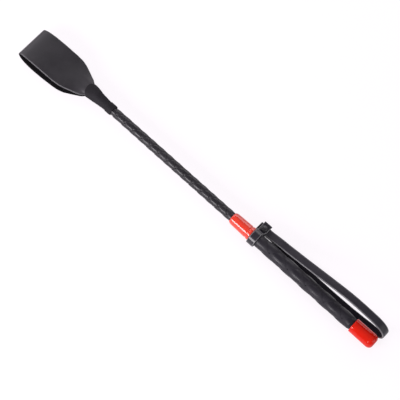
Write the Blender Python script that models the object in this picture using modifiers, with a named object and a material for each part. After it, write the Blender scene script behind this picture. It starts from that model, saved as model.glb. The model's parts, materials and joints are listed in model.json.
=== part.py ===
"""Riding crop: plaited shaft and grip on a glass-fibre rod, folded keeper, red ferrule and butt cap, wrist strap.

Dimensions are in millimetres here and become metres when a mesh is made. Along the crop, T is counted from the
keeper's fold towards the butt cap; Y points to the wrist strap's side and heights R or Z count from the crop's axis.
"""

import math

import bpy
from mathutils import Matrix, Vector

MM = 0.001

# Overall
LENGTH = 450.0  # keeper fold to butt cap
FOLD_REACH, STRAP_REACH = -0.8, 452.3  # outermost corner of the skewed fold and point of the strap loop
AXIS_Y, AXIS_Z = 1.6, 8.6  # the axis, from the middle of the box and over the table
MID_T = (FOLD_REACH + STRAP_REACH) / 2

# Keeper
KEEPER_HALF = [(0, 17.9), (8, 18.6), (15, 19.1), (30, 19.25), (44, 19.3), (52, 18.7), (58, 17.2), (62, 15.6),
               (66, 14.0), (70, 12.4), (73.3, 11.0), (75.5, 9.2), (77.6, 6.6)]
KEEPER_SIDE = [(0, -2.75), (22, -2.65), (32, -2.2), (42, -1.5), (52, -1.1), (62, -0.9), (70, -1.0), (75, -0.9), (80, -0.1)]
KEEPER_SKEW = -0.045  # its fold lies this much off square to the crop
KEEPER_THICK = 1.8
KEEPER_PATH = [(77.6, -1.15), (74, -2.1), (69, -4.1), (61, -6.4), (52, -7.4), (42, -7.7), (24, -7.7), (12, -7.5),
               (5.5, -6.2), (1.9, -4.0), (0.9, -1.6), (1.9, 0.8), (5.5, 2.7), (12, 3.9), (20, 4.6), (30, 4.4),
               (38, 3.3), (46, 2.7), (57, 2.75), (64, 2.3), (70, 1.6), (77.6, 1.15)]
KEEPER_HINGE_T = 78.8
TAIL_PATH = [(79.9, 1.2), (82.5, 1.75), (85.5, 2.5), (88.5, 2.9), (94.5, 2.9)]
TAIL_HALF = [(79.9, 5.6), (82.5, 5.2), (86, 3.6), (88.5, 2.4), (94.5, 2.4)]
TAIL_THICK = 1.1

# Sleeve: outer radius along T, and its wall
SLEEVE = [(79.3, 7.6), (79.8, 7.85), (81.0, 7.75), (83, 7.45), (85, 7.2), (87, 6.9), (89, 6.5), (91, 6.15),
          (94, 5.85), (97, 5.55), (99.5, 5.38), (101.6, 5.3), (102.2, 5.55), (103.2, 5.62), (110.0, 5.62),
          (110.9, 5.35)]
SLEEVE_WALL = 0.75

# Rod and tube
ROD = [(90.0, 2.0), (90.5, 2.2), (112, 2.3), (130, 2.6), (444.3, 2.6), (444.7, 2.3)]
TUBE_FROM, TUBE_TO, TUBE_IN, TUBE_OUT = 288.0, 418.5, 2.9, 3.85

# Plaits: four strands, two each way; quarter lead is the distance between crossings, zero where one lies on top
SHAFT_FROM, SHAFT_TO, SHAFT_QUARTER, SHAFT_ZERO = 99.0, 285.0, 5.665, 98.64
SHAFT_MID, SHAFT_LIFT, SHAFT_STRAND = 4.16, 0.49, 0.70
SHAFT_NIP = [(98, -0.57), (108.5, -0.57), (113, -0.15), (130, -0.05), (158, 0.0), (300, 0.0)]
GRIP_FROM, GRIP_TO, GRIP_QUARTER, GRIP_ZERO = 295.65, 439.3, 11.65, 284.0
GRIP_MID, GRIP_LIFT, GRIP_STRAND = 5.88, 0.64, 1.00
GRIP_NIP = [(293, 0.0), (301.8, 0.0), (303.2, 0.2), (306, 0.2), (311, 0.0), (421.0, 0.0), (423.2, -0.5),
            (426, -1.1), (429, -1.33), (450, -1.33)]
PLAIT_TURN = math.radians(45.0)
STRAND_HALF = 0.445  # of the spacing between neighbours

# Ferrule and butt cap
FERRULE_OUT = [(268.3, 5.35), (268.8, 5.7), (270.0, 6.1), (271.9, 6.42), (277.8, 6.59), (283.7, 6.73),
               (289.0, 6.85), (289.5, 6.45), (290.1, 6.45), (290.6, 6.98), (292.6, 7.08), (293.4, 6.85)]
FERRULE_BORE = [(293.4, 5.65), (278.5, 5.65), (277.8, 5.15), (268.7, 5.15)]
CAP_OUT = [(423.4, 7.25), (423.9, 7.5), (430, 7.6), (446.5, 7.72), (448.4, 7.4), (449.5, 6.5), (450.0, 5.0)]
CAP_BORE, CAP_FLOOR = 6.8, 445.2

# Thread bindings: from, to, inner radius, turns, thread radius
LASHING = (88.9, 93.9, 4.3, 6)
SHAFT_WHIP = (279.5, 284.3, 5.08, 6)
BUTT_WHIP = (429.2, 434.4, 5.82, 6)

# Collar band and its tab
BAND_FROM, BAND_TO = 293.7, 301.8
BAND_RADIUS, BAND_THICK = 7.85, 1.35
TAB_Z, TAB_REACH, TAB_SHIFT = 2.525, 18.6, 1.4
TAB_LOWER_REACH, TAB_LOWER_SHIFT = 18.2, -0.9
RIVET_T, RIVET_Y = 298.5, 11.8

# Wrist strap
STRAP_HALF, STRAP_THICK, STRAP_END_THICK = 4.45, 1.8, 1.5
STRAP_PATH = [(298.5, 0.875), (303, 0.93), (307, 0.98), (311, 1.7), (320.3, 3.4), (330.1, 4.5), (341.8, 6.4),
              (353.5, 8.3), (365.1, 10.5), (372.8, 12.0), (382.4, 13.7), (391.9, 15.3), (401.4, 16.5),
              (410.9, 17.3), (420.2, 17.5), (428, 17.3), (435.2, 16.7), (440, 15.7), (444.5, 14.0), (448, 11.4),
              (450.4, 8.2), (451.4, 4.8), (450.9, 1.2), (448.8, -2.3), (445, -5.2), (440, -7.1), (433, -7.7),
              (420, -7.7), (400, -7.7), (372, -7.7), (350, -7.5), (335, -6.2), (320, -3.4), (310.6, -1.1),
              (306.5, -0.9), (298.5, -0.875)]
STRAP_SIDE = [(0.0, 11.95), (0.02, 12.1), (0.08, 12.1), (0.25, 11.95), (0.42, 11.95), (0.5, 12.5), (0.57, 13.2),
              (0.6, 12.4), (0.64, 11.65), (0.72, 11.25), (0.85, 11.4), (0.92, 11.8), (0.95, 11.95), (1.0, 11.95)]

# Rivet
POST_R, HOLE_R = 1.15, 1.45

BLACK = (0.038, 0.035, 0.040)
RED = (0.72, 0.035, 0.015)


def clear_scene():
    for obj in list(bpy.data.objects):
        bpy.data.objects.remove(obj, do_unlink=True)
    for coll in list(bpy.data.collections):
        bpy.data.collections.remove(coll)


def collection(name):
    coll = bpy.data.collections.new(name)
    bpy.context.scene.collection.children.link(coll)
    return coll


def material(name, colour, roughness, metallic=0.0):
    mat = bpy.data.materials.new(name)
    mat.use_nodes = True
    shader = mat.node_tree.nodes["Principled BSDF"]
    shader.inputs["Base Color"].default_value = (*colour, 1.0)
    shader.inputs["Roughness"].default_value = roughness
    shader.inputs["Metallic"].default_value = metallic
    return mat


def along(table, t):
    """Value at t of a table of (t, value) rows, straight between rows."""
    if t <= table[0][0]:
        return table[0][1]
    for (t0, v0), (t1, v1) in zip(table, table[1:]):
        if t <= t1:
            return v0 + (v1 - v0) * (t - t0) / (t1 - t0)
    return table[-1][1]


def smooth(points, pieces):
    """Points on a centripetal curve through the given points, with this many pieces in each span."""
    pts = [Vector(p) for p in points]
    pts = [2 * pts[0] - pts[1]] + pts + [2 * pts[-1] - pts[-2]]
    out = []
    for a, b, c, d in zip(pts, pts[1:], pts[2:], pts[3:]):
        ta = 0.0
        tb = ta + math.sqrt((b - a).length)
        tc = tb + math.sqrt((c - b).length)
        td = tc + math.sqrt((d - c).length)
        for k in range(pieces):
            t = tb + (tc - tb) * k / pieces
            ab = a * ((tb - t) / (tb - ta)) + b * ((t - ta) / (tb - ta))
            bc = b * ((tc - t) / (tc - tb)) + c * ((t - tb) / (tc - tb))
            cd = c * ((td - t) / (td - tc)) + d * ((t - tc) / (td - tc))
            abc = ab * ((tc - t) / (tc - ta)) + bc * ((t - ta) / (tc - ta))
            bcd = bc * ((td - t) / (td - tb)) + cd * ((t - tb) / (td - tb))
            out.append(abc * ((tc - t) / (tc - tb)) + bcd * ((t - tb) / (tc - tb)))
    out.append(pts[-2])
    return out


def world(t, y, z):
    """Millimetres along the crop, sideways and over the axis, as metres in the object's frame."""
    return Vector(((t - MID_T) * MM, (AXIS_Y + y) * MM, (AXIS_Z + z) * MM))


def add_mesh(name, verts, faces, mat, coll):
    mesh = bpy.data.meshes.new(name)
    mesh.from_pydata([tuple(v) for v in verts], [], faces)
    mesh.validate()
    if mat is not None:
        mesh.materials.append(mat)
    obj = bpy.data.objects.new(name, mesh)
    coll.objects.link(obj)
    return obj


def turn_out(obj):
    """Faces of a closed mesh all turned outwards."""
    mesh = obj.data
    mesh.calc_loop_triangles()
    volume = 0.0
    for tri in mesh.loop_triangles:
        a, b, c = (mesh.vertices[i].co for i in tri.vertices)
        volume += a.dot(b.cross(c))
    if volume < 0:
        mesh.flip_normals()


def off_axis(a, b):
    """How far from the crop's axis the middle of two points lies."""
    return math.hypot(a.y + b.y - 2 * AXIS_Y * MM, a.z + b.z - 2 * AXIS_Z * MM)


def loft(name, rings, mat, coll, origin=None, wound=False):
    """Solid through rings of equal length, with a flat cap at each end. A wound one keeps its faces round."""
    size = len(rings[0])
    verts = [v for ring in rings for v in ring]
    faces = []
    for k in range(len(rings) - 1):
        for i in range(size):
            j = (i + 1) % size
            a, b, c, d = k * size + i, k * size + j, (k + 1) * size + j, (k + 1) * size + i
            if not wound:
                faces.append((a, b, c, d))
            elif off_axis(verts[a], verts[c]) > off_axis(verts[b], verts[d]):
                faces += [(a, b, c), (a, c, d)]
            else:
                faces += [(a, b, d), (b, c, d)]
    faces.append(tuple(reversed(range(size))))
    faces.append(tuple((len(rings) - 1) * size + i for i in range(size)))
    obj = add_mesh(name, verts, faces, mat, coll)
    turn_out(obj)
    if origin is not None:
        obj.data.transform(Matrix.Translation(-origin))
        obj.location = origin
    return obj


def lathe(name, profile, mat, coll, steps):
    """Turned solid about the crop's axis from (t, radius) points: down its outer side from the butt end."""
    mesh = bpy.data.meshes.new(name)
    closed = profile[0][1] > 0 and profile[-1][1] > 0
    verts = [(r * MM, 0.0, (t - MID_T) * MM) for t, r in profile]
    edges = [(i, i + 1) for i in range(len(profile) - 1)]
    if closed:
        edges.append((len(profile) - 1, 0))
    mesh.from_pydata(verts, edges, [])
    mesh.materials.append(mat)
    obj = bpy.data.objects.new(name, mesh)
    coll.objects.link(obj)
    screw = obj.modifiers.new("turn", "SCREW")
    screw.axis = "Z"
    screw.angle = math.tau
    screw.steps = steps
    screw.render_steps = steps
    screw.use_merge_vertices = True
    screw.merge_threshold = 0.00001
    obj.rotation_euler = (0.0, math.radians(90.0), 0.0)
    obj.location = (0.0, AXIS_Y * MM, AXIS_Z * MM)
    return obj


def band_section(middle, side, normal, half, thick):
    """Eight points round a flat strip: edges eased at the corners."""
    ease = 0.22 * thick
    h, g = thick / 2, half - ease
    flat = [(half, -(h - ease)), (half, h - ease), (g, h), (-g, h), (-half, h - ease), (-half, -(h - ease)),
            (-g, -h), (g, -h)]
    return [middle + side * (a * MM) + normal * (b * MM) for a, b in flat]


def strip_rings(points, halves, thicks, side):
    """Rings of a strip whose middle line runs through the points and whose width lies along side."""
    rings = []
    for i, point in enumerate(points):
        ahead = points[min(i + 1, len(points) - 1)] - points[max(i - 1, 0)]
        ahead -= side * ahead.dot(side)
        normal = ahead.normalized().cross(side)
        rings.append(band_section(point, side, normal, halves[i], thicks[i]))
    return rings


def make_core_rod(coll, mat):
    profile = [(t, r) for t, r in reversed(ROD)]
    return lathe("core_rod", [(profile[0][0], 0.0)] + profile + [(profile[-1][0], 0.0)], mat, coll, 24)


def make_grip_tube(coll, mat):
    profile = [(TUBE_TO, TUBE_OUT), (TUBE_FROM, TUBE_OUT), (TUBE_FROM, TUBE_IN), (TUBE_TO, TUBE_IN)]
    return lathe("grip_tube", profile, mat, coll, 32)


def make_strand(name, family, index, span, shape, nip, rows, square_start, coll, mat):
    """One flat strand of a round plait of four: it passes over and under the two that run the other way."""
    start, stop, quarter, zero = span
    middle, lift, thick = shape
    fractions = [-1.0, -0.5, 0.0, 0.5, 1.0]
    outline = [(f, 1) for f in fractions] + [(f, -1) for f in reversed(fractions[1:-1])]
    count = int((stop - start) / quarter * rows)
    places = [start] + [start + quarter * (k + 0.5) / rows for k in range(count)]
    rings = []
    for place in places:
        square = min(1.0, 0.8 * (place - start) / (STRAND_HALF * quarter)) if square_start else 1.0
        ring = []
        for fraction, face in outline:
            across = fraction * STRAND_HALF
            t = place - family * across * quarter * square
            own = index + across
            other = own + family * (t - zero) / quarter
            cosine = math.cos(math.pi * (other - index))
            wave = math.copysign(abs(cosine) ** 0.35, cosine)
            turn = PLAIT_TURN + (own + other) * math.pi / 2
            radius = middle + along(nip, t) + family * lift * wave
            radius += face * thick / 2 * math.sqrt(max(0.0, 1.0 - fraction * fraction))
            ring.append(world(t, -radius * math.sin(turn), radius * math.cos(turn)))
        rings.append(ring)
    return loft(name, rings, mat, coll, wound=True)


def make_shaft_plait(coll, mat):
    span = (SHAFT_FROM, SHAFT_TO, SHAFT_QUARTER, SHAFT_ZERO)
    shape = (SHAFT_MID, SHAFT_LIFT, SHAFT_STRAND)
    for number, (family, index) in enumerate(((1, 0), (1, 1), (-1, 0), (-1, 1)), 1):
        make_strand(f"shaft_plait_{number}", family, index, span, shape, SHAFT_NIP, 4, False, coll, mat)


def make_grip_plait(coll, mat):
    span = (GRIP_FROM, GRIP_TO, GRIP_QUARTER, GRIP_ZERO)
    shape = (GRIP_MID, GRIP_LIFT, GRIP_STRAND)
    for number, (family, index) in enumerate(((1, 0), (1, 1), (-1, 0), (-1, 1)), 1):
        make_strand(f"grip_plait_{number}", family, index, span, shape, GRIP_NIP, 6, True, coll, mat)


def lying(points, thick):
    """The same points, none of them closer to the table than half the strip's thickness."""
    low = thick / 2 * MM
    return [Vector((p.x, p.y, max(p.z, low))) for p in points]


def make_keeper(coll, mat):
    """The folded strip: two tails at the neck, opened by the fold, its underside flat where it lies down."""
    line = lying(smooth([world(t, along(KEEPER_SIDE, t), z) for t, z in KEEPER_PATH], 3), KEEPER_THICK)
    halves = [along(KEEPER_HALF, p.x / MM + MID_T) for p in line]
    side = Vector((KEEPER_SKEW, 1, 0)).normalized()
    rings = strip_rings(line, halves, [KEEPER_THICK] * len(line), side)
    return loft("keeper", rings, mat, coll, world(KEEPER_HINGE_T, 0, 0))


def make_keeper_tail(name, sign, coll, mat):
    line = smooth([world(t, 0, sign * z) for t, z in TAIL_PATH], 3)
    halves = [along(TAIL_HALF, p.x / MM + MID_T) for p in line]
    return loft(name, strip_rings(line, halves, [TAIL_THICK] * len(line), Vector((0, 1, 0))), mat, coll)


def make_keeper_sleeve(coll, mat):
    outer = list(reversed(SLEEVE))
    inner = [(t, r - SLEEVE_WALL) for t, r in SLEEVE if t not in (102.2, 103.2)]
    inner[0] = (SLEEVE[0][0], SLEEVE[0][1] - SLEEVE_WALL + 0.15)
    inner[-1] = (SLEEVE[-1][0], SLEEVE[-1][1] - SLEEVE_WALL + 0.1)
    return lathe("keeper_sleeve", outer + inner, mat, coll, 32)


def make_binding(name, spec, mat, coll):
    """Close turns of thread as one ribbed ring."""
    start, stop, inside, turns = spec
    pitch = (stop - start) / turns
    profile = []
    for k in range(turns, 0, -1):
        high = start + pitch * k
        profile += [(high, inside + 0.2), (high - 0.5 * pitch, inside + 0.38)]
    profile += [(start, inside + 0.2), (start, inside), (stop, inside)]
    return lathe(name, profile, mat, coll, 20)


def make_ferrule(coll, mat):
    return lathe("ferrule", list(reversed(FERRULE_OUT)) + list(reversed(FERRULE_BORE)), mat, coll, 40)


def make_end_cap(coll, mat):
    outer = [(450.0, 0.0)] + list(reversed(CAP_OUT))
    bore = [(CAP_OUT[0][0], CAP_BORE), (CAP_FLOOR, CAP_BORE), (CAP_FLOOR, 0.0)]
    return lathe("end_cap", outer + bore, mat, coll, 40)


def cylinder(name, t, y, low, high, radius, coll, steps=20):
    """Upright cylinder, heights counted from the crop's axis."""
    lower, upper = [], []
    for k in range(steps):
        angle = math.tau * k / steps
        x, z = t + radius * math.cos(angle), y + radius * math.sin(angle)
        lower.append(world(x, z, low))
        upper.append(world(x, z, high))
    return loft(name, [lower, upper], None, coll)


def cut(obj, cutter):
    boolean = obj.modifiers.new("hole", "BOOLEAN")
    boolean.operation = "DIFFERENCE"
    boolean.solver = "EXACT"
    boolean.object = cutter
    cutter.hide_render = True
    cutter.display_type = "WIRE"


def make_strap_collar(coll, cutters, mat):
    """Band round the grip; its ends leave the far side straight and lie one over the other as a tab."""
    leave = math.radians(48.0)
    points = []
    tabs = [TAB_REACH, 14.6, 11.4, 9.5]
    for y in tabs:
        points.append((y, TAB_Z))
    start = (BAND_RADIUS * math.cos(leave), BAND_RADIUS * math.sin(leave))
    points.append((8.4, TAB_Z + 0.28))
    arc = math.tau - 2 * leave
    count = 13
    for k in range(count + 1):
        angle = leave + arc * k / count
        points.append((BAND_RADIUS * math.cos(angle), BAND_RADIUS * math.sin(angle)))
    points.append((8.4, -TAB_Z - 0.28))
    for y in (9.5, 11.4, 14.6, TAB_LOWER_REACH):
        points.append((y, -TAB_Z))
    middle = (BAND_FROM + BAND_TO) / 2
    half = (BAND_TO - BAND_FROM) / 2
    places = []
    for k, (y, z) in enumerate(points):
        shift = (TAB_SHIFT if z > 0 else TAB_LOWER_SHIFT) * min(1.0, max(0.0, (y - 4.5) / 5.0))
        places.append(world(middle + shift, y, z))
    line = smooth(places, 2)
    side = Vector((1, 0, 0))
    rings = strip_rings(line, [half] * len(line), [BAND_THICK] * len(line), side)
    obj = loft("strap_collar", rings, mat, coll)
    cut(obj, cylinder("collar_hole", RIVET_T, RIVET_Y, -8, 8, HOLE_R, cutters))
    return obj


def make_wrist_strap(coll, cutters, mat):
    line = lying(smooth([world(t, 0, z) for t, z in STRAP_PATH], 2), STRAP_THICK)
    total = sum((b - a).length for a, b in zip(line, line[1:]))
    gone, halves, thicks = 0.0, [], []
    places = []
    for k, point in enumerate(line):
        if k:
            gone += (point - line[k - 1]).length
        share = gone / total
        places.append(point + Vector((0, along(STRAP_SIDE, share) * MM, 0)))
        halves.append(STRAP_HALF)
        near = min(gone, total - gone) / MM
        thicks.append(STRAP_END_THICK + (STRAP_THICK - STRAP_END_THICK) * min(1.0, max(0.0, (near - 6) / 12)))
    # Both ends are rounded about the rivet
    first, last = places[0].copy(), places[-1].copy()
    for angle in (30, 58, 80):
        back = Vector((STRAP_HALF * math.sin(math.radians(angle)) * MM, 0, 0))
        half = STRAP_HALF * math.cos(math.radians(angle))
        places = [first - back] + places + [last - back]
        halves = [half] + halves + [half]
        thicks = [STRAP_END_THICK] + thicks + [STRAP_END_THICK]
    obj = loft("wrist_strap", strip_rings(places, halves, thicks, Vector((0, 1, 0))), mat, coll)
    cut(obj, cylinder("strap_hole", RIVET_T, RIVET_Y, -3, 3, HOLE_R, cutters))
    return obj


def upright_lathe(name, profile, mat, coll, steps):
    """Turned solid about the rivet's upright axis from (radius, height) points, down its outer side."""
    mesh = bpy.data.meshes.new(name)
    verts = [(r * MM, 0.0, z * MM) for r, z in profile]
    mesh.from_pydata(verts, [(i, i + 1) for i in range(len(profile) - 1)], [])
    mesh.materials.append(mat)
    obj = bpy.data.objects.new(name, mesh)
    coll.objects.link(obj)
    screw = obj.modifiers.new("turn", "SCREW")
    screw.axis = "Z"
    screw.angle = math.tau
    screw.steps = steps
    screw.render_steps = steps
    screw.use_merge_vertices = True
    screw.merge_threshold = 0.00001
    obj.location = world(RIVET_T, RIVET_Y, 0)
    return obj


def make_rivet(coll, mat):
    top = TAB_Z + BAND_THICK / 2 + 0.5
    low = -top
    cap = [(0, top + 1.25), (1.3, top + 1.15), (2.4, top + 0.9), (3.1, top + 0.5), (3.35, top + 0.15), (3.25, top),
           (HOLE_R, top), (HOLE_R, top + 0.55), (0, top + 0.55)]
    post = [(0, top + 0.3), (POST_R, top + 0.3), (POST_R, low), (3.1, low), (3.3, low - 0.2), (3.1, low - 0.6),
            (2.4, low - 0.8), (0, low - 0.85)]
    upright_lathe("rivet_cap", cap, mat, coll, 28)
    upright_lathe("rivet_post", post, mat, coll, 28)


def main():
    clear_scene()
    crop = collection("riding_crop")
    cutters = collection("cutters")
    cutters.hide_render = True
    leather = material("keeper_leather", (0.030, 0.028, 0.032), 0.48)
    sleeve = material("sleeve_leather", (0.026, 0.024, 0.028), 0.62)
    shaft = material("shaft_leather", BLACK, 0.42)
    grip = material("grip_leather", (0.034, 0.031, 0.036), 0.40)
    strap = material("strap_leather", (0.030, 0.028, 0.032), 0.50)
    red = material("red_plastic", RED, 0.14)
    glass_fibre = material("glass_fibre", (0.62, 0.60, 0.50), 0.35)
    tube = material("tube_plastic", (0.10, 0.10, 0.10), 0.5)
    thread = material("thread", (0.015, 0.015, 0.017), 0.7)
    metal = material("blackened_metal", (0.045, 0.043, 0.048), 0.30, 0.7)
    make_core_rod(crop, glass_fibre)
    make_grip_tube(crop, tube)
    make_shaft_plait(crop, shaft)
    make_grip_plait(crop, grip)
    make_keeper(crop, leather)
    make_keeper_tail("keeper_tail_top", 1, crop, leather)
    make_keeper_tail("keeper_tail_bottom", -1, crop, leather)
    make_keeper_sleeve(crop, sleeve)
    make_binding("keeper_lashing", LASHING, thread, crop)
    make_binding("shaft_whipping", SHAFT_WHIP, thread, crop)
    make_binding("butt_whipping", BUTT_WHIP, thread, crop)
    make_ferrule(crop, red)
    make_end_cap(crop, red)
    make_strap_collar(crop, cutters, strap)
    make_wrist_strap(crop, cutters, strap)
    make_rivet(crop, metal)


main()
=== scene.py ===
"""Looks of the riding crop: finer leather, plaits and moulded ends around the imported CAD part.

Lengths in the tables are millimetres. T runs from the keeper's fold towards the butt cap, Y to the strap's side
and Z up from the crop's axis; place() turns them into the frame's metres.
"""

import json
import math

import bpy
import numpy as np
from mathutils import Matrix, Vector


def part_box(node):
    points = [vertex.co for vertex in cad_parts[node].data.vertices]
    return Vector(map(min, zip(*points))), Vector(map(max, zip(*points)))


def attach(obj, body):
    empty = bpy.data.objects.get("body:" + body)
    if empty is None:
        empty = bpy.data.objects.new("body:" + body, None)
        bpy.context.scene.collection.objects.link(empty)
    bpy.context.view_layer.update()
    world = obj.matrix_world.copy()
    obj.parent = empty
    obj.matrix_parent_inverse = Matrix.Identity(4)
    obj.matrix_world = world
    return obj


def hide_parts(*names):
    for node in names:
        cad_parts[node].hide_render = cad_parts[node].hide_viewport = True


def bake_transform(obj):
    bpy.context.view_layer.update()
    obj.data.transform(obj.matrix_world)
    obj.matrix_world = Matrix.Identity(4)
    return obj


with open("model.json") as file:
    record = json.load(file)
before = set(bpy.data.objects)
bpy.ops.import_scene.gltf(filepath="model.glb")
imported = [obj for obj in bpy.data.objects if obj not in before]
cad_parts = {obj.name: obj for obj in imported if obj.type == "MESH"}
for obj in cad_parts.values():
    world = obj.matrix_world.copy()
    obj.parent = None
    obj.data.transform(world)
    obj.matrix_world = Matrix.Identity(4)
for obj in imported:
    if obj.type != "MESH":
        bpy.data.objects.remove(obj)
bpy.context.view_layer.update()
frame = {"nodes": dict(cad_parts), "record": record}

MM = 0.001
JOINTS = {joint["name"]: joint for joint in frame["record"]["behaviour"]["joints"]}
AXIS_Y, AXIS_Z = JOINTS["collar_turn"]["pos_m"][1:]
ZERO_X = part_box("end_cap")[1].x - 0.450  # of the keeper's fold; the crop is 450 mm long without the strap
RIVET_LOW, RIVET_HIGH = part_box("rivet_cap")
RIVET_T = (RIVET_LOW.x + RIVET_HIGH.x) / 2 / MM - ZERO_X / MM
RIVET_Y = (RIVET_LOW.y + RIVET_HIGH.y) / 2 / MM - AXIS_Y / MM
LOWEST_LEATHER = 0.00003  # height in metres that no strip goes below

# Keeper: half width and sideways shift by T, slant of its width, and its line seen from the side as (T, Z)
KEEPER_HALF = [(0, 18.7), (8, 19.2), (15, 19.5), (30, 19.6), (44, 19.5), (52, 18.8), (58, 17.2), (62, 15.6),
               (66, 14.0), (70, 12.4), (73.3, 11.0), (75.5, 9.4), (77.9, 7.2), (79.6, 6.2)]
KEEPER_SIDE = [(0, -2.95), (10, -2.75), (22, -2.65), (32, -2.2), (42, -1.5), (52, -1.1), (62, -0.9),
               (70, -1.0), (75, -0.9), (80, -0.1)]
KEEPER_SKEW = -0.045
KEEPER_THICK = 1.7
KEEPER_PATH = [(79.6, -2.0), (77.9, -2.3), (74, -3.1), (69, -4.7), (61, -6.5), (52, -7.4), (42, -7.7),
               (24, -7.7), (11, -7.5), (4.3, -6.2), (0.7, -4.0), (-0.4, -1.6), (0.7, 0.8), (4.3, 2.7),
               (11, 3.9), (20, 4.6), (30, 4.4), (38, 3.3), (46, 2.7), (57, 2.75), (64, 2.95), (70, 3.0),
               (74, 2.8), (77.9, 2.3), (79.6, 2.0)]
# Its neck: how far the edges drop by T, its width, which scales the pale spot beside the pleat across it (a
# faint painted highlight, partly wear), and the pleat beside the sleeve
NECK_CROWN = [(50, 0.0), (58, 0.35), (64, 1.1), (69, 1.75), (73, 1.6), (77, 1.2), (80, 1.0)]
NECK_WIDTH = 22.0
PLEAT_T, PLEAT_SIDE, PLEAT_LONG, PLEAT_WIDE, PLEAT_DEPTH = 74.8, -7.4, 2.4, 1.15, 1.1
FLEX_FROM, FLEX_TO = 81.5, 72.5  # T from and to of the leather between the crop and the keeper, across its hinge line

# Sleeve: (T, radius) of its outside, thickness of its wall, and the end of its lining
SLEEVE_OUT = [(79.3, 7.55), (79.5, 7.78), (79.9, 7.85), (81.0, 7.75), (83, 7.45), (85, 7.2), (87, 6.9),
              (89, 6.5), (91, 6.15), (94, 5.85), (97, 5.55), (99.5, 5.38), (101.5, 5.28), (101.9, 5.3),
              (102.2, 5.5), (102.6, 5.62), (103.4, 5.66), (108.2, 5.66), (108.8, 5.6), (109.3, 5.4),
              (109.5, 5.15)]
SLEEVE_WALL = 0.75
SLEEVE_LINING_END = [(109.2, 4.75), (109.5, 4.95)]

# Plaits. A span is from, to, distance between crossings, and where one of them lies on top. A shape is middle
# radius, lift, thickness, and how roundly a strand rises along itself and across itself; the smaller the
# flatter. A nip is the change of radius by T, where something is drawn tight over the plait.
SHAFT_SPAN = (99.0, 285.0, 5.665, 98.64)
SHAFT_SHAPE = (4.23, 0.44, 0.74, 0.60, 0.45)
SHAFT_NIP = [(98, -0.57), (108.5, -0.57), (113, -0.15), (130, -0.05), (158, 0.0), (300, 0.0)]
GRIP_SPAN = (295.65, 439.3, 11.65, 284.0)
GRIP_SHAPE = (6.08, 0.53, 0.94, 1.0, 1.0)
GRIP_NIP = [(293, -0.3), (301.8, -0.3), (303.2, 0.1), (306, 0.05), (311, 0.0), (421.0, 0.0), (423.2, -0.7),
            (426, -1.4), (429, -1.6), (450, -1.6)]
PLAIT_TURN = math.radians(45.0)
STRAND_HALF = 0.494  # of the distance between neighbouring strands

# Ferrule and butt cap: (T, radius) of the outside, then of the bore
FERRULE = [(293.4, 5.65), (293.4, 6.9), (293.1, 7.05), (292.6, 7.09), (291.0, 7.02), (290.55, 6.95),
           (290.3, 6.62), (290.1, 6.47), (289.5, 6.45), (289.25, 6.6), (289.0, 6.83), (288.4, 6.86),
           (283.7, 6.73), (277.8, 6.59), (274.5, 6.5), (271.9, 6.42), (270.6, 6.26), (269.6, 6.0),
           (268.9, 5.72), (268.5, 5.5), (268.3, 5.3), (268.35, 5.17)]
FERRULE_BORE = [(268.7, 5.15), (277.8, 5.15), (278.5, 5.65)]
CAP = [(450.6, 0.0), (450.6, 0.9), (450.45, 1.0), (450.45, 1.35), (450.6, 1.45), (450.6, 3.6), (450.5, 4.3),
       (450.2, 5.1), (449.7, 5.85), (449.0, 6.55), (448.1, 7.1), (447.1, 7.5), (446.0, 7.7), (445.0, 7.73),
       (444.8, 7.7), (444.5, 7.7), (444.3, 7.73), (438.0, 7.67), (430, 7.6), (425.6, 7.55), (424.6, 7.53),
       (423.9, 7.48), (423.5, 7.32), (423.4, 7.1), (423.4, 6.95), (423.6, 6.82)]
CAP_BORE = [(424.0, 6.8), (445.2, 6.8), (445.2, 0.0)]

# Collar: a band round the grip whose two ends lie together as a tab, one end above the strap and one below it
BAND_FROM, BAND_TO, BAND_RADIUS, BAND_THICK = 293.7, 301.8, 7.85, 1.35
BAND_SLACK = 0.55  # how far it stands off the grip on the side away from its tab
TAB_Z, TAB_HALF = 2.525, 4.6
TAB_REACH, TAB_LOWER_REACH = 18.7, 18.2
TAB_SHIFT, TAB_LOWER_SHIFT = 1.0, -1.5
TAB_START, TAB_RUN = 4.5, 5.0  # Y where the band starts to turn into the tab, and over what length

# Wrist strap: its line seen from the side as (T, Z), then its Y and how much narrower it is on each side, both
# by the share of its length
STRAP_HALF, STRAP_THICK, STRAP_END_THICK = 4.45, 1.8, 1.5
STRAP_PATH = [(298.5, 0.875), (303, 0.93), (307, 0.98), (311, 1.7), (320.3, 3.4), (330.1, 4.5), (341.8, 6.4),
              (353.5, 8.3), (365.1, 10.5), (372.8, 12.0), (382.4, 13.7), (391.9, 15.3), (401.4, 16.5),
              (410.9, 17.3), (420.2, 17.5), (428, 17.3), (435.4, 16.7), (440.3, 15.7), (445, 14.0),
              (448.7, 11.4), (451.1, 8.2), (452.1, 4.8), (451.6, 1.2), (449.4, -2.3), (445.4, -5.2),
              (440.2, -7.1), (433, -7.7), (420, -7.7), (400, -7.7), (372, -7.7), (350, -7.5), (335, -6.2),
              (320, -3.4), (310.6, -1.1), (306.5, -0.9), (298.5, -0.875)]
STRAP_SIDE = [(0.0, 11.95), (0.02, 12.1), (0.08, 12.1), (0.25, 11.95), (0.42, 11.95), (0.5, 12.5),
              (0.57, 13.2), (0.6, 12.4), (0.64, 11.65), (0.72, 11.25), (0.85, 11.4), (0.90, 11.9),
              (0.94, 12.4), (0.965, 12.3), (0.985, 11.95), (1.0, 11.85)]
STRAP_NARROW = [(0.0, 0.0), (0.88, 0.0), (0.94, 0.35), (0.982, 0.35), (1.0, 0.0)]

# Rivet: radius of its holes in collar and strap, and the room between the tab's face and its cap
RIVET_HOLE, RIVET_ROOM = 1.45, 0.5

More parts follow.
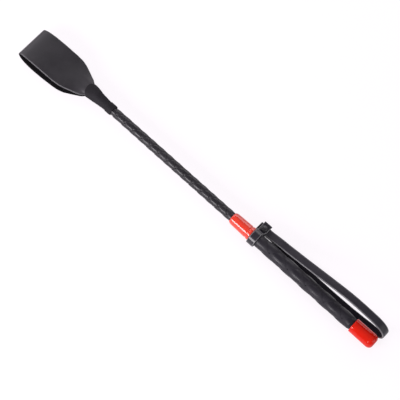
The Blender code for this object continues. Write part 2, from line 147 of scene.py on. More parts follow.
# Camera: direction of the view, roll, distance and focal length
VIEW_AZIMUTH, VIEW_ELEVATION, VIEW_ROLL = 22.251, 65.0, 21.442
VIEW_DISTANCE, VIEW_LENS = 1.400, 129.726
VIEW_OFFSET = (7.931, -9.341)  # of the aim from the frame's middle in X and from the axis in Y

# Light: what the table gives by itself, and the sky's tint and strength
TABLE_GLOW = 0.85
SKY, SKY_STRENGTH = (1.0, 0.967, 1.0), 0.30
FLOOR_HALF, FLOOR_Z = 6.0, -0.0002  # half its side, and its height, in metres

# Dyes, and the pale shade at the keeper's fold and neck: partly grain paled by stretching, partly painted sheen
STRAP_DYE = (0.0165, 0.0145, 0.0208), (0.0225, 0.0203, 0.0280)
STRETCH_AND_SHEEN_SHADE = (0.040, 0.037, 0.043)


# ---------------------------------------------------------------- materials

def new_material(name, roughness, metallic=0.0, specular=0.5):
    mat = bpy.data.materials.new(name)
    mat.use_nodes = True
    shader = mat.node_tree.nodes["Principled BSDF"]
    shader.inputs["Roughness"].default_value = roughness
    shader.inputs["Metallic"].default_value = metallic
    shader.inputs["Specular IOR Level"].default_value = specular
    return mat, mat.node_tree, shader


def coordinates(tree, scale=(1.0, 1.0, 1.0)):
    """The place in the object, in metres, multiplied by scale."""
    coord = tree.nodes.new("ShaderNodeTexCoord")
    mapping = tree.nodes.new("ShaderNodeMapping")
    mapping.inputs["Scale"].default_value = scale
    tree.links.new(coord.outputs["Object"], mapping.inputs["Vector"])
    return mapping.outputs["Vector"]


def noise(tree, vector, scale, detail=4.0, roughness=0.55, distortion=0.0):
    node = tree.nodes.new("ShaderNodeTexNoise")
    node.inputs["Scale"].default_value = scale
    node.inputs["Detail"].default_value = detail
    node.inputs["Roughness"].default_value = roughness
    node.inputs["Distortion"].default_value = distortion
    tree.links.new(vector, node.inputs["Vector"])
    return node.outputs["Fac"]


def cells(tree, vector, scale):
    """The distance to the nearest border between cells."""
    node = tree.nodes.new("ShaderNodeTexVoronoi")
    node.feature = "DISTANCE_TO_EDGE"
    node.inputs["Scale"].default_value = scale
    tree.links.new(vector, node.inputs["Vector"])
    return node.outputs["Distance"]


def ramp(tree, value, stops):
    node = tree.nodes.new("ShaderNodeValToRGB")
    while len(node.color_ramp.elements) < len(stops):
        node.color_ramp.elements.new(0.5)
    for element, (place, colour) in zip(node.color_ramp.elements, stops):
        element.position = place
        element.color = (*colour, 1.0) if len(colour) == 3 else colour
    tree.links.new(value, node.inputs["Fac"])
    return node.outputs["Color"]


def grey_ramp(tree, value, low, high, start=0.0, stop=1.0):
    node = tree.nodes.new("ShaderNodeMapRange")
    node.inputs["From Min"].default_value = start
    node.inputs["From Max"].default_value = stop
    node.inputs["To Min"].default_value = low
    node.inputs["To Max"].default_value = high
    tree.links.new(value, node.inputs["Value"])
    return node.outputs["Result"]


def mixed(tree, factor, first, second, blend="MIX"):
    """first and second mixed by factor; each is a socket or a colour."""
    node = tree.nodes.new("ShaderNodeMix")
    node.data_type = "RGBA"
    node.blend_type = blend
    if isinstance(factor, float):
        node.inputs["Factor"].default_value = factor
    else:
        tree.links.new(factor, node.inputs["Factor"])
    for name, value in (("A", first), ("B", second)):
        socket = [s for s in node.inputs if s.name == name and s.type == "RGBA"][0]
        if isinstance(value, tuple):
            socket.default_value = (*value, 1.0)
        else:
            tree.links.new(value, socket)
    return [s for s in node.outputs if s.type == "RGBA"][0]


def maths(tree, operation, first, second=None, third=None):
    node = tree.nodes.new("ShaderNodeMath")
    node.operation = operation
    for k, value in enumerate((first, second, third)):
        if value is None:
            continue
        if isinstance(value, (int, float)):
            node.inputs[k].default_value = value
        else:
            tree.links.new(value, node.inputs[k])
    return node.outputs[0]


def bump(tree, shader, layers):
    """Bump from (height socket, depth in metres) layers, the first of them the coarsest."""
    normal = None
    for height, depth in layers:
        node = tree.nodes.new("ShaderNodeBump")
        node.inputs["Strength"].default_value = 1.0
        node.inputs["Distance"].default_value = depth
        tree.links.new(height, node.inputs["Height"])
        if normal is not None:
            tree.links.new(normal, node.inputs["Normal"])
        normal = node.outputs["Normal"]
    tree.links.new(normal, shader.inputs["Normal"])


def strip_places(tree):
    """The place along a strip in metres, and across it from 0 to 1, out of its UV map."""
    coord = tree.nodes.new("ShaderNodeTexCoord")
    split = tree.nodes.new("ShaderNodeSeparateXYZ")
    tree.links.new(coord.outputs["UV"], split.inputs["Vector"])
    return split.outputs["X"], split.outputs["Y"]


def edge_share(tree):
    """0 in the middle of a strip and 1 at its edges."""
    middle = maths(tree, "SUBTRACT", strip_places(tree)[1], 0.5)
    return maths(tree, "MULTIPLY", maths(tree, "ABSOLUTE", middle), 2.0)


def stretch_and_sheen(tree, colour, spots):
    """The colour made paler at each spot: shade, place along the strip, place across it or None, and reach. The
    spots stand partly for grain paled by stretching and partly for painted sheen and a painted highlight.
    """
    lengthwise, across = strip_places(tree)
    for shade, middle, over, reach in spots:
        gap = maths(tree, "ABSOLUTE", maths(tree, "SUBTRACT", lengthwise, middle))
        if over is not None:
            aside = maths(tree, "MULTIPLY", maths(tree, "SUBTRACT", across, over), NECK_WIDTH * MM)
            gap = maths(tree, "SQRT", maths(tree, "ADD", maths(tree, "MULTIPLY", gap, gap),
                                            maths(tree, "MULTIPLY", aside, aside)))
        near = grey_ramp(tree, gap, 1.0, 0.0, 0.0, reach)
        colour = mixed(tree, maths(tree, "POWER", near, 2.0), colour, shade)
    return colour


def leather(name, dark, light, rough, grain, depth=0.00001, edge=None, specular=0.34, creases=0.0,
            stretch_and_sheen_spots=(), matt=None):
    """Dyed leather with blotchy dye and pore grain. grain is the number of pores to a metre. depth and creases
    are how deep pores and drawn creases are, in metres. edge is (where across a strip wear starts, worn shade),
    the spot list is in the spot function's form (pale spots: partly grain paled by stretching, partly painted
    sheen and a painted highlight), and matt is how much rougher the edges are than the middle, polished by
    rubbing."""
    mat, tree, shader = new_material(name, rough, specular=specular)
    where = coordinates(tree)
    blotches = noise(tree, where, 55.0, 5.0, 0.6)
    pores = cells(tree, where, grain)
    fine = noise(tree, where, grain * 1.7, 3.0)
    colour = ramp(tree, blotches, [(0.34, dark), (0.68, light)])
    valley = grey_ramp(tree, pores, 0.85, 1.0, 0.0, 0.10)
    colour = mixed(tree, 1.0, colour, valley, "MULTIPLY")
    if edge is not None:
        worn_from, worn_shade = edge
        patchy = maths(tree, "MULTIPLY", grey_ramp(tree, edge_share(tree), 0.0, 1.0, worn_from, 1.0),
                       grey_ramp(tree, noise(tree, where, 240.0), 0.25, 1.0, 0.35, 0.65))
        colour = mixed(tree, patchy, colour, worn_shade)
    if stretch_and_sheen_spots:
        colour = stretch_and_sheen(tree, colour, stretch_and_sheen_spots)
    tree.links.new(colour, shader.inputs["Base Color"])
    shine = grey_ramp(tree, blotches, rough - 0.07, rough + 0.09, 0.3, 0.7)
    if matt is not None:
        shine = maths(tree, "ADD", shine, grey_ramp(tree, edge_share(tree), 0.0, matt, 0.25, 0.85))
    tree.links.new(shine, shader.inputs["Roughness"])
    layers = [(noise(tree, where, 120.0, 3.0, 0.5, 0.4), depth * 6)]
    if creases:
        drawn = coordinates(tree, scale=(0.25, 1.0, 1.0))
        layers.append((noise(tree, drawn, 420.0, 3.0, 0.6, 0.8), creases))
    layers += [(pores, depth), (fine, depth * 0.5)]
    bump(tree, shader, layers)
    return mat


def cut_edge(name, dark, light, rough, specular=0.4, painted_sheen_and_wear=None):
    """Raw edge of cut leather: dyed fibres. The last argument is (place along the strip, shade), paler from
    there on; on the keeper this is a painted highlight along the upper ply's edge, partly wear.
    """
    mat, tree, shader = new_material(name, rough, specular=specular)
    where = coordinates(tree)
    fibres = noise(tree, where, 1500.0, 6.0, 0.7)
    patches = noise(tree, where, 160.0, 3.0)
    colour = ramp(tree, maths(tree, "MULTIPLY_ADD", fibres, 0.55, maths(tree, "MULTIPLY", patches, 0.45)),
                  [(0.35, dark), (0.62, light)])
    if painted_sheen_and_wear is not None:
        paler_from, pale = painted_sheen_and_wear
        beyond = grey_ramp(tree, strip_places(tree)[0], 0.0, 0.9, paler_from, paler_from + 0.006)
        patchy = maths(tree, "MULTIPLY", beyond, grey_ramp(tree, patches, 0.6, 1.0, 0.3, 0.6))
        colour = mixed(tree, patchy, colour, pale)
    tree.links.new(colour, shader.inputs["Base Color"])
    bump(tree, shader, [(fibres, 0.00002)])
    return mat


def flesh(name, dark, light):
    """Suede inner side of the leather."""
    mat, tree, shader = new_material(name, 0.88, specular=0.10)
    where = coordinates(tree)
    nap = noise(tree, where, 900.0, 6.0, 0.75)
    patches = noise(tree, where, 70.0, 3.0)
    shades = maths(tree, "MULTIPLY_ADD", nap, 0.5, maths(tree, "MULTIPLY", patches, 0.5))
    tree.links.new(ramp(tree, shades, [(0.3, dark), (0.7, light)]), shader.inputs["Base Color"])
    shader.inputs["Sheen Weight"].default_value = 0.03
    shader.inputs["Sheen Roughness"].default_value = 0.5
    bump(tree, shader, [(nap, 0.00008)])
    return mat


def moulded(name, deep, pale, rough, specular):
    """Glossy moulded plastic: slight flow marks in its colour, fine scuffs and a faint ripple."""
    mat, tree, shader = new_material(name, rough, specular=specular)
    where = coordinates(tree)
    flow = noise(tree, coordinates(tree, scale=(1.0, 3.0, 3.0)), 60.0, 4.0, 0.5, 0.6)
    tree.links.new(ramp(tree, flow, [(0.3, deep), (0.7, pale)]), shader.inputs["Base Color"])
    scuffs = noise(tree, coordinates(tree, scale=(0.3, 1.0, 1.0)), 900.0, 6.0, 0.7)
    tree.links.new(grey_ramp(tree, scuffs, rough - 0.02, rough + 0.02, 0.45, 0.8), shader.inputs["Roughness"])
    bump(tree, shader, [(noise(tree, where, 90.0, 1.0), 0.00001)])
    return mat


def thread_material(name):
    """Dark waxed thread with a slanting twist."""
    mat, tree, shader = new_material(name, 0.62)
    where = coordinates(tree)
    twist = tree.nodes.new("ShaderNodeTexWave")
    twist.wave_type = "BANDS"
    twist.bands_direction = "DIAGONAL"
    twist.inputs["Scale"].default_value = 900.0
    twist.inputs["Distortion"].default_value = 1.2
    tree.links.new(where, twist.inputs["Vector"])
    shades = ramp(tree, twist.outputs["Fac"], [(0.1, (0.008, 0.008, 0.009)), (0.9, (0.03, 0.029, 0.032))])
    tree.links.new(shades, shader.inputs["Base Color"])
    bump(tree, shader, [(twist.outputs["Fac"], 0.00008)])
    return mat


def drawn_fibre(name, dark, light, rough):
    """Long fibres along the crop under a clear skin."""
    mat, tree, shader = new_material(name, rough)
    fibres = noise(tree, coordinates(tree, scale=(0.02, 1.0, 1.0)), 3000.0, 4.0, 0.6)
    tree.links.new(ramp(tree, fibres, [(0.3, dark), (0.7, light)]), shader.inputs["Base Color"])
    shader.inputs["Coat Weight"].default_value = 0.3
    bump(tree, shader, [(fibres, 0.00002)])
    return mat


def blackened(name):
    """Blackened metal, worn brighter in small spots."""
    mat, tree, shader = new_material(name, 0.34, 0.75)
    where = coordinates(tree)
    rub = noise(tree, where, 700.0, 6.0, 0.7)
    tree.links.new(ramp(tree, rub, [(0.42, (0.030, 0.029, 0.033)), (0.72, (0.10, 0.098, 0.104))]),
                   shader.inputs["Base Color"])
    tree.links.new(grey_ramp(tree, rub, 0.42, 0.28, 0.4, 0.75), shader.inputs["Roughness"])
    bump(tree, shader, [(noise(tree, where, 1600.0, 4.0), 0.00002)])
    return mat


def table_material():
    """Pale light table: mostly its own even glow, so that shadows on it stay faint."""
    mat, tree, shader = new_material("pale_table", 0.9, specular=0.1)
    grain = noise(tree, coordinates(tree), 30.0, 3.0)
    tree.links.new(ramp(tree, grain, [(0.2, (0.198, 0.192, 0.198)), (0.8, (0.202, 0.196, 0.202))]),
                   shader.inputs["Base Color"])
    shader.inputs["Emission Color"].default_value = (1.0, 0.965, 1.0, 1.0)
    shader.inputs["Emission Strength"].default_value = TABLE_GLOW
    return mat


# ---------------------------------------------------------------- shapes

def along(table, t):
    """The table's second column at t of its first."""
    return np.interp(t, [row[0] for row in table], [row[1] for row in table])


def place(t, y, z):
    """Millimetres along, sideways and over the axis as points in the frame's metres."""
    t, y, z = np.broadcast_arrays(np.asarray(t, float), np.asarray(y, float), np.asarray(z, float))
    return np.stack([ZERO_X + t * MM, AXIS_Y + y * MM, AXIS_Z + z * MM], -1)


def smooth(points, pieces):
    """Points on a centripetal curve through the given points, with this many pieces in each span."""
    pts = np.asarray(points, float)
    pts = np.vstack([2 * pts[0] - pts[1], pts, 2 * pts[-1] - pts[-2]])
    out = []
    for a, b, c, d in zip(pts, pts[1:], pts[2:], pts[3:]):
        tb = math.sqrt(np.linalg.norm(b - a))
        tc = tb + math.sqrt(np.linalg.norm(c - b))
        td = tc + math.sqrt(np.linalg.norm(d - c))
        for k in range(pieces):
            t = tb + (tc - tb) * k / pieces
            ab = a * ((tb - t) / tb) + b * (t / tb)
            bc = b * ((tc - t) / (tc - tb)) + c * ((t - tb) / (tc - tb))
            cd = c * ((td - t) / (td - tc)) + d * ((t - tc) / (td - tc))
            abc = ab * ((tc - t) / tc) + bc * (t / tc)
            bcd = bc * ((td - t) / (td - tb)) + cd * ((t - tb) / (td - tb))
            out.append(abc * ((tc - t) / (tc - tb)) + bcd * ((t - tb) / (tc - tb)))
    out.append(pts[-2])
    return np.array(out)


def lengths(points):
    """How far along its line each point lies."""
    return np.concatenate([[0], np.cumsum(np.linalg.norm(np.diff(points, axis=0), axis=1))])


def even(points, step):
    """The same line with points this far apart, and how far along each lies."""
    gone = lengths(points)
    count = max(2, int(round(gone[-1] / step)) + 1)
    share = np.linspace(0, gone[-1], count)
    return np.stack([np.interp(share, gone, points[:, k]) for k in range(3)], -1), share


def ripple(a, b, seed, size):
    """Smooth uneven field of about unit height; features are this size in the units of a and b."""
    rng = np.random.default_rng(seed)
    total = np.zeros(np.broadcast(a, b).shape)
    for _ in range(9):
        angle, phase = rng.uniform(0, math.tau, 2)
        rate = math.tau / (size * rng.uniform(0.7, 1.9))
        total = total + np.sin(rate * (a * math.cos(angle) + b * math.sin(angle)) + phase)
    return total / 3.2


def add_grid(name, points, uv, mats, slots=None, closed=False):
    """Closed surface from rows of equal rings of points. Its ends are flat, or joined when it is closed. uv
    holds the places of the rows and of the points round a ring, and slots the material of each column of
    faces."""
    rows, size = points.shape[:2]
    verts = points.reshape(-1, 3)
    last = rows if closed else rows - 1
    r, c = np.meshgrid(np.arange(last), np.arange(size), indexing="ij")
    nr, nc = (r + 1) % rows, (c + 1) % size
    quads = np.stack([r * size + c, r * size + nc, nr * size + nc, nr * size + c], -1).reshape(-1, 4)
    faces = [tuple(map(int, q)) for q in quads]
    tags = np.tile(np.asarray(slots if slots is not None else [0] * size), last).tolist()
    if not closed:
        faces += [tuple(reversed(range(size))), tuple((rows - 1) * size + i for i in range(size))]
        tags += [0, 0]
    mesh = bpy.data.meshes.new(name)
    mesh.from_pydata([tuple(v) for v in verts], [], faces)
    for mat in mats:
        mesh.materials.append(mat)
    mesh.polygons.foreach_set("material_index", np.array(tags, np.int32))
    layer = mesh.uv_layers.new(name="UVMap")
    flat = np.zeros((len(mesh.loops), 2), np.float32)
    u, v = uv
    for i in range(len(quads)):
        row, col = divmod(i, size)
        v1 = v[(col + 1) % size]
        u1 = u[row + 1] if row + 1 < len(u) else u[-1]
        flat[4 * i:4 * i + 4] = ((u[row], v[col]), (u[row], v1), (u1, v1), (u1, v[col]))
    layer.data.foreach_set("uv", flat.reshape(-1))
    mesh.validate()
    face_out(mesh)
    mesh.polygons.foreach_set("use_smooth", np.ones(len(mesh.polygons), bool))
    mesh.update()
    obj = bpy.data.objects.new(name, mesh)
    bpy.context.scene.collection.objects.link(obj)
    return obj


def face_out(mesh):
    """Turns the faces of a closed mesh outwards."""
    mesh.calc_loop_triangles()
    co = np.empty(len(mesh.vertices) * 3)
    mesh.vertices.foreach_get("co", co)
    tri = np.empty(len(mesh.loop_triangles) * 3, np.int32)
    mesh.loop_triangles.foreach_get("vertices", tri)
    corner = co.reshape(-1, 3)[tri.reshape(-1, 3)]
    if np.linalg.det(corner).sum() < 0:
        mesh.flip_normals()


def frames(points, side):
    """Side and outward directions at each point of a strip's middle line."""
    ahead = np.gradient(points, axis=0)
    side = np.broadcast_to(np.asarray(side, float) / np.linalg.norm(side), points.shape)
    ahead = ahead - side * (ahead * side).sum(1)[:, None]
    ahead /= np.linalg.norm(ahead, axis=1)[:, None]
    return side, np.cross(ahead, side)


def strip(name, points, share, side, halves, thicks, mats, columns, bend=None, carve=None, low=None):
    """Leather strip with eased edges. bend moves both faces, carve thins each face and low is the lowest height
    that any point may have. mats are grain, edge and flesh."""
    sides, outs = frames(points, side)
    ease = 0.42  # how much of the thickness its rounded edges take
    fractions = np.linspace(-1, 1, columns)
    arc = np.linspace(90, -90, 7)[1:-1]
    section = [(f, 0.0, 1, 0.5 + 0.5 * f) for f in fractions]
    section += [(1.0, math.radians(a), 0, 1.0) for a in arc]
    section += [(f, 0.0, -1, 0.5 + 0.5 * f) for f in reversed(fractions)]
    section += [(-1.0, math.radians(a), 0, 0.0) for a in reversed(arc)]
    slots = [0 if s[2] == 1 else 2 if s[2] == -1 else 1 for s in section]
    # The last column of either face is the first one of its rounded edge.
    slots[columns - 1] = 1
    slots[2 * columns + len(arc) - 1] = 1
    rings = np.zeros((len(points), len(section), 3))
    halves = np.asarray(halves) * MM
    thicks = np.asarray(thicks) * MM
    reach = halves - ease * thicks
    for k, (fraction, angle, face, _) in enumerate(section):
        if face:
            across = fraction * reach
            rise = face * thicks / 2
            if carve is not None:
                rise = rise - face * carve(across / MM, halves / MM) * MM
        else:
            across = np.sign(fraction) * (reach + ease * thicks * math.cos(angle))
            rise = thicks / 2 * math.sin(angle)
        if bend is not None:
            rise = rise + bend(share / MM, across / MM) * MM
        rings[:, k] = points + sides * across[:, None] + outs * rise[:, None]
    if low is not None:
        rings[..., 2] = np.maximum(rings[..., 2], low)
    v = [s[3] for s in section]
    return add_grid(name, rings, (share, v), mats, slots)


def turned(name, profile, mat, steps, centre=None, form=None):
    """Turned piece from (T, radius) points round the crop's axis, or from (radius, Z) points round an upright
    axis at centre. form changes T, radius and angle of each point into T, Y and Z."""
    profile = np.asarray(profile, float)
    angles = np.linspace(0, math.tau, steps, endpoint=False)
    if centre is not None:
        radii, places = profile[:, 0], profile[:, 1]
    else:
        places, radii = profile[:, 0], profile[:, 1]
    radii = np.maximum(radii, 0.004)  # a ring on the axis keeps a width, so that its faces stay whole
    grid_r = np.repeat(radii[:, None], steps, 1)
    grid_t = np.repeat(places[:, None], steps, 1)
    if form is not None:
        points = place(*form(grid_t, grid_r, angles[None, :]))
    elif centre is not None:
        points = place(centre[0] + grid_r * np.cos(angles), centre[1] + grid_r * np.sin(angles), grid_t)
    else:
        points = place(grid_t, -grid_r * np.sin(angles), grid_r * np.cos(angles))
    closed = radii[0] > 0.1 and radii[-1] > 0.1
    return add_grid(name, points, (lengths(profile) * MM, angles / math.tau), [mat], closed=closed)


def plait_strand(name, family, index, span, shape, nip, rows, columns, square_start, mat):
    """One flat strand of a round plait of four, over and under the two that run the other way. family, 1 or -1,
    is the way it runs round, and rows is how many rings go from one crossing to the next."""
    start, stop, quarter, zero = span
    middle, lift, thick, rise, crown = shape
    count = int((stop - start) / quarter * rows)
    places = np.linspace(start, stop, count)[:, None]
    fraction = np.linspace(-1, 1, columns)
    fraction = np.sign(fraction) * (1 - (1 - np.abs(fraction)) ** 1.35)
    fraction = np.concatenate([fraction, fraction[::-1][1:-1]])[None, :]
    face = np.concatenate([np.ones(columns), -np.ones(columns - 2)])[None, :]
    square = np.clip(0.8 * (places - start) / (STRAND_HALF * quarter), 0, 1) if square_start else 1.0
    across = fraction * STRAND_HALF
    t = places - family * across * quarter * square
    own = index + across
    other = own + family * (t - zero) / quarter
    cosine = np.cos(math.pi * (other - index))
    wave = np.sign(cosine) * np.abs(cosine) ** rise * np.cos(math.pi * 0.97 * across) ** crown
    turn = PLAIT_TURN + (own + other) * math.pi / 2
    radius = middle + along(nip, t) + family * lift * wave
    radius = radius + face * thick / 2 * np.sqrt(np.clip(1 - np.abs(fraction) ** 14, 0, 1))
    radius = radius + 0.035 * thick * ripple(t, own * quarter, 7 * index + family + 3, quarter * 1.3)
    points = place(t, -radius * np.sin(turn), radius * np.cos(turn))
    v = (0.5 + 0.5 * fraction[0]).tolist()
    return add_grid(name, points, ((places[:, 0] - start) * MM, v), [mat])


# ---------------------------------------------------------------- pieces

def stand_for(piece, body, slot, *nodes):
    """A rigid piece that takes the place of these CAD nodes."""
    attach(piece, body)
    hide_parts(*nodes)


def flexing(piece, slot, *nodes):
    """Keeper leather, set into the frame's coordinates, that takes the place of these CAD nodes."""
    tuple(place(FLEX_FROM, 0, 0))
    tuple(place(FLEX_TO, 0, 0))
    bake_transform(piece)
    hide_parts(*nodes)


def make_plaits(shaft_mat, grip_mat):
    for number, (family, index) in enumerate(((1, 0), (1, 1), (-1, 0), (-1, 1)), 1):
        piece = plait_strand(f"shaft_strand_{number}", family, index, SHAFT_SPAN, SHAFT_SHAPE, SHAFT_NIP,
                             12, 9, False, shaft_mat)
        stand_for(piece, "crop", "shaft_leather", f"shaft_plait_{number}")
        piece = plait_strand(f"grip_strand_{number}", family, index, GRIP_SPAN, GRIP_SHAPE, GRIP_NIP,
                             22, 17, True, grip_mat)
        stand_for(piece, "crop", "grip_leather", f"grip_plait_{number}")


def make_keeper(mats):
    line = smooth([place(t, 0, z) for t, z in KEEPER_PATH], 8)
    line[:, 1] += along(KEEPER_SIDE, (line[:, 0] - ZERO_X) / MM) * MM
    line[:, 2] = np.maximum(line[:, 2], KEEPER_THICK / 2 * MM)
    line, share = even(line, 0.0008)
    t = (line[:, 0] - ZERO_X) / MM
    total = share[-1] / MM
    crown, half = along(NECK_CROWN, t), along(KEEPER_HALF, t)

    def bend(s, a):
        from_end = np.minimum(s, total - s)
        gathered = np.clip((24 - from_end) / 18, 0, 1) ** 1.5
        pleats = 0.12 * gathered * np.cos(a * 0.9 + 0.4) * np.clip(from_end / 5, 0.15, 1)
        upper = np.clip((s - total * 0.52) / 12, 0, 1)
        waves = 0.07 * upper * ripple(s, a * 1.5, 5, 34.0) * np.clip(from_end / 16, 0, 1)
        pinch = np.exp(-(((t - PLEAT_T) / PLEAT_LONG) ** 2) - ((a - PLEAT_SIDE) / PLEAT_WIDE) ** 2)
        pinch = PLEAT_DEPTH * pinch * (s > total / 2)
        return pleats + waves - crown * np.abs(a / half) ** 2.6 - pinch

    piece = strip("keeper_leather_fold", line, share, (KEEPER_SKEW, 1, 0), half,
                  np.full(len(t), KEEPER_THICK), mats, 40, bend, low=LOWEST_LEATHER)
    flexing(piece, "keeper_leather", "keeper")


def make_sleeve(mat):
    inner = [(t, r - SLEEVE_WALL) for t, r in SLEEVE_OUT if 79.6 < t < 101.8]
    inner = [(79.35, SLEEVE_OUT[0][1] - 0.45)] + inner + SLEEVE_LINING_END
    outer = smooth([(t, r, 0) for t, r in SLEEVE_OUT], 3)[:, :2]
    profile = np.vstack([outer[::-1], np.array(inner)])

    def form(t, r, angle):
        mouth = np.clip((88 - t) / 8.7, 0, 1)
        folds = np.clip((97 - t) / 8, 0, 1) * np.clip((t - 79.0) / 1.5, 0.2, 1)
        rise = 0.12 * folds * ripple(t * 0.8, angle * 6.5, 11, 6.5)
        rise = rise + 0.05 * ripple(t, angle * 5.0, 4, 3.0) * np.clip((t - 80) / 4, 0, 1)
        tied = np.exp(-(((t - 98.4) / 0.9) ** 2)) * (0.6 + 0.4 * np.cos(2 * angle + 1))
        seam = np.exp(-((np.angle(np.exp(1j * (angle - 2.75))) / 0.10) ** 2))
        rise = rise - 0.10 * tied + 0.16 * seam
        wide, tall = r + rise + 0.35 * mouth, r + rise - 3.0 * mouth ** 1.4
        reach = mouth ** 2 * (1.6 + 4.2 * np.abs(np.cos(angle)) ** 1.5)
        slant = 0.5 * np.sin(angle) * np.clip((t - 104) / 5, 0, 1)
        return t - reach - slant, -wide * np.sin(angle), tall * np.cos(angle)

    piece = turned("sleeve_leather_sock", profile, mat, 96, form=form)
    flexing(piece, "sleeve_leather", "keeper_sleeve")


def make_moulded_ends(ferrule_red, cap_red):
    piece = turned("ferrule_moulding", FERRULE + FERRULE_BORE, ferrule_red, 96)
    stand_for(piece, "crop", "red_plastic", "ferrule")
    piece = turned("butt_cap_moulding", CAP + CAP_BORE, cap_red, 96)
    stand_for(piece, "crop", "red_plastic", "end_cap")


def cut_rivet_hole(obj, reach):
    """Rivet hole through the piece, this far up and down from the crop's axis."""
    angles = np.linspace(0, math.tau, 32, endpoint=False)
    rings = np.stack([place(RIVET_T + RIVET_HOLE * np.cos(angles), RIVET_Y + RIVET_HOLE * np.sin(angles), z)
                      for z in (-reach, reach)])
    drill = add_grid("drill", rings, ((0, 1), angles), obj.data.materials[:1])
    modifier = obj.modifiers.new("hole", "BOOLEAN")
    modifier.operation = "DIFFERENCE"
    modifier.solver = "EXACT"
    modifier.object = drill
    bpy.context.view_layer.objects.active = obj
    bpy.ops.object.modifier_apply(modifier=modifier.name)
    bpy.data.objects.remove(drill, do_unlink=True)


def make_collar(mats):
    leave = math.radians(48.0)  # from Y, where the band leaves its tab
    points = [(TAB_REACH, TAB_Z), (14.6, TAB_Z), (11.4, TAB_Z), (9.5, TAB_Z), (8.4, TAB_Z + 0.28)]
    arc = math.tau - 2 * leave
    for k in range(14):
        angle = leave + arc * k / 13
        slack = BAND_SLACK * max(0.0, -math.cos(angle)) ** 1.5
        points.append((BAND_RADIUS * math.cos(angle) - slack, BAND_RADIUS * math.sin(angle)))
    points.append((8.4, -TAB_Z - 0.28))
    points += [(y, -TAB_Z) for y in (9.5, 11.4, 14.6, TAB_LOWER_REACH)]
    middle = (BAND_FROM + BAND_TO) / 2
    placed = []
    for y, z in points:
        in_tab = min(1.0, max(0.0, (y - TAB_START) / TAB_RUN))
        placed.append(place(middle + (TAB_SHIFT if z > 0 else TAB_LOWER_SHIFT) * in_tab, y, z))
    line, share = even(smooth(placed, 6), 0.0006)
    band = (BAND_TO - BAND_FROM) / 2
    reach = (line[:, 1] - AXIS_Y) / MM
    half = band + (TAB_HALF - band) * np.clip((reach - TAB_START) / TAB_RUN, 0, 1)

    def carve(a, halves):
        crease = 0.10 * np.exp(-(((np.abs(a) - (halves - 0.95)) / 0.20) ** 2))
        return crease + 0.05 * (a / halves) ** 2

    piece = strip("collar_leather_band", line, share, (1, 0, 0), half,
                  np.full(len(line), BAND_THICK), mats, 24, carve=carve)
    cut_rivet_hole(piece, 8)
    stand_for(piece, "collar", "strap_leather", "strap_collar")


def make_wrist_strap(mats):
    line = smooth([place(t, 0, z) for t, z in STRAP_PATH], 6)
    line[:, 2] = np.maximum(line[:, 2], STRAP_THICK / 2 * MM)
    line, share = even(line, 0.0009)
    total = share[-1]
    line[:, 1] += along(STRAP_SIDE, share / total) * MM
    near = np.minimum(share, total - share) / MM
    thicks = STRAP_END_THICK + (STRAP_THICK - STRAP_END_THICK) * np.clip((near - 6) / 12, 0, 1)
    first, last = line[0].copy(), line[-1].copy()
    halves = STRAP_HALF - along(STRAP_NARROW, share / total)
    for angle in map(math.radians, range(12, 90, 12)):  # round both ends, past the rivet
        back = np.array([STRAP_HALF * math.sin(angle) * MM, 0, 0])
        half = STRAP_HALF * math.cos(angle)
        line = np.vstack([first - back, line, last - back])
        halves = np.concatenate([[half], halves, [half]])
        thicks = np.concatenate([thicks[:1], thicks, thicks[-1:]])
    share = lengths(line)
    total = share[-1] / MM

    def carve(a, half):
        crease = 0.12 * np.exp(-(((np.abs(a) - (half - 1.05)) / 0.22) ** 2))
        return (crease + 0.07 * (a / STRAP_HALF) ** 2) * np.clip(half / STRAP_HALF * 2 - 1, 0, 1)

    def bend(s, a):
        from_end = np.minimum(s, total - s)
        return 0.10 * ripple(s, a * 2, 21, 30.0) * np.clip((from_end - 12) / 20, 0, 1)

    piece = strip("wrist_strap_leather", line, share, (0, 1, 0), halves, thicks, mats, 26, bend, carve,
                  LOWEST_LEATHER)
    cut_rivet_hole(piece, 3)
    stand_for(piece, "strap", "strap_leather", "wrist_strap")


def make_rivet(mat):
    top = TAB_Z + BAND_THICK / 2 + RIVET_ROOM
    cap = [(0, top + 1.25), (0.7, top + 1.23), (1.4, top + 1.14), (2.0, top + 1.0), (2.55, top + 0.76),
           (2.75, top + 0.6), (2.85, top + 0.56), (3.15, top + 0.55), (3.32, top + 0.42), (3.36, top + 0.22),
           (3.3, top + 0.04), (3.1, top), (1.45, top), (1.45, top + 0.55), (0, top + 0.55)]
    low = -top
    post = [(0, top + 0.3), (1.15, top + 0.3), (1.15, low + 0.1), (1.25, low), (3.0, low), (3.25, low - 0.12),
            (3.3, low - 0.3), (3.15, low - 0.5), (2.7, low - 0.68), (2.0, low - 0.8), (0, low - 0.86)]
    piece = turned("rivet_dome", cap, mat, 64, (RIVET_T, RIVET_Y))
    stand_for(piece, "collar", "blackened_metal", "rivet_cap")
    piece = turned("rivet_shank", post, mat, 64, (RIVET_T, RIVET_Y))
    stand_for(piece, "collar", "blackened_metal", "rivet_post")


def finish_nodes(table):
    """Gives the CAD nodes that stay their procedural materials."""
    for names, mat in table:
        for name in names:
            obj = frame["nodes"][name]
            obj.data.materials.clear()
            obj.data.materials.append(mat)


# ---------------------------------------------------------------- stage

def make_floor():
    mesh = bpy.data.meshes.new("floor")
    corners = [(x * FLOOR_HALF, y * FLOOR_HALF, FLOOR_Z) for x, y in ((-1, -1), (1, -1), (1, 1), (-1, 1))]
    mesh.from_pydata(corners, [], [(0, 1, 2, 3)])
    mesh.materials.append(table_material())
    floor = bpy.data.objects.new("floor", mesh)
    bpy.context.scene.collection.objects.link(floor)


